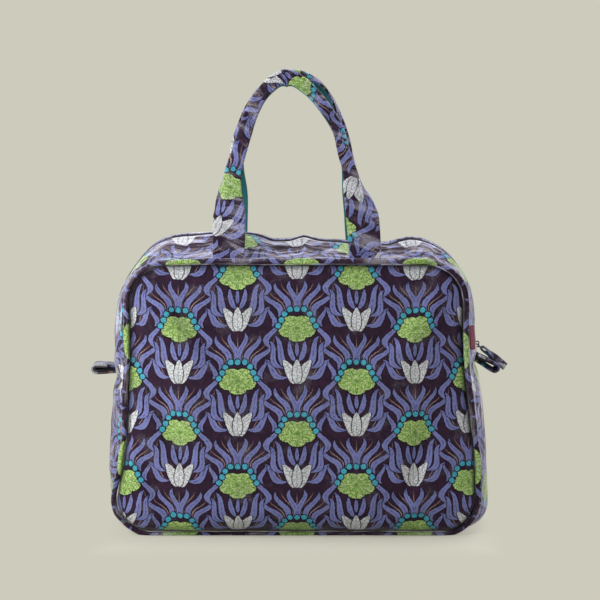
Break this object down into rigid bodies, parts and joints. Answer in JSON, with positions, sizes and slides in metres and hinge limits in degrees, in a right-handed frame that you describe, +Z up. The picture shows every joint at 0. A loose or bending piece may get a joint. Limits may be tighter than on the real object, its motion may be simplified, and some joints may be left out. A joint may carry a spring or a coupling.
{
  "type": "zipped carpet bag",
  "caption": "Soft velvet carpet bag with a piped pillow front and back, a zip over the top, loop tabs at its ends and two folded strap handles.",
  "frame": {"origin": "on the floor under the middle of the bag's base", "axes": "+Z up, the front panel faces -Y, +X to the right seen from the front"},
  "size_m": [0.5061, 0.211, 0.5523],
  "materials": {
    "velvet": "printed cotton velvet in aubergine and periwinkle, soft nap",
    "lining": "plain teal cotton",
    "zip_tape": "dark woven zip tape",
    "zip_coil": "dark nylon coil",
    "zip_metal": "gunmetal",
    "side_tab": "plain woven red ribbon"
  },
  "bodies": {
    "bag": {"front_panel": "velvet", "rear_panel": "velvet", "base_gusset": "velvet", "top_gusset_front": "velvet", "top_gusset_rear": "velvet", "front_piping": "velvet", "rear_piping": "velvet", "zip_tape_front": "zip_tape", "zip_tape_rear": "zip_tape", "zip_coil_front": "zip_coil", "zip_coil_rear": "zip_coil", "zip_stop_left": "zip_metal", "zip_stop_right": "zip_metal", "loop_tab_left": "velvet", "loop_tab_right": "velvet", "front_handle": "velvet", "front_handle_lining": "lining", "rear_handle": "velvet", "rear_handle_lining": "lining", "side_tab": "side_tab"},
    "slider": {"zip_slider": "zip_metal"},
    "pull": {"zip_pull_ring": "zip_metal", "zip_pull_strap": "velvet"}
  },
  "joints": [
    {"name": "zip_slide", "type": "slide", "parent": "bag", "child": "slider", "axis": [-0.0682, 0, 0.9977], "range_m": [0, 0.045]},
    {"name": "pull_hinge", "type": "hinge", "parent": "slider", "child": "pull", "pos_m": [0.22123, 0, 0.22009], "axis": [0, -1, 0], "range_deg": [0, 120]}
  ]
}
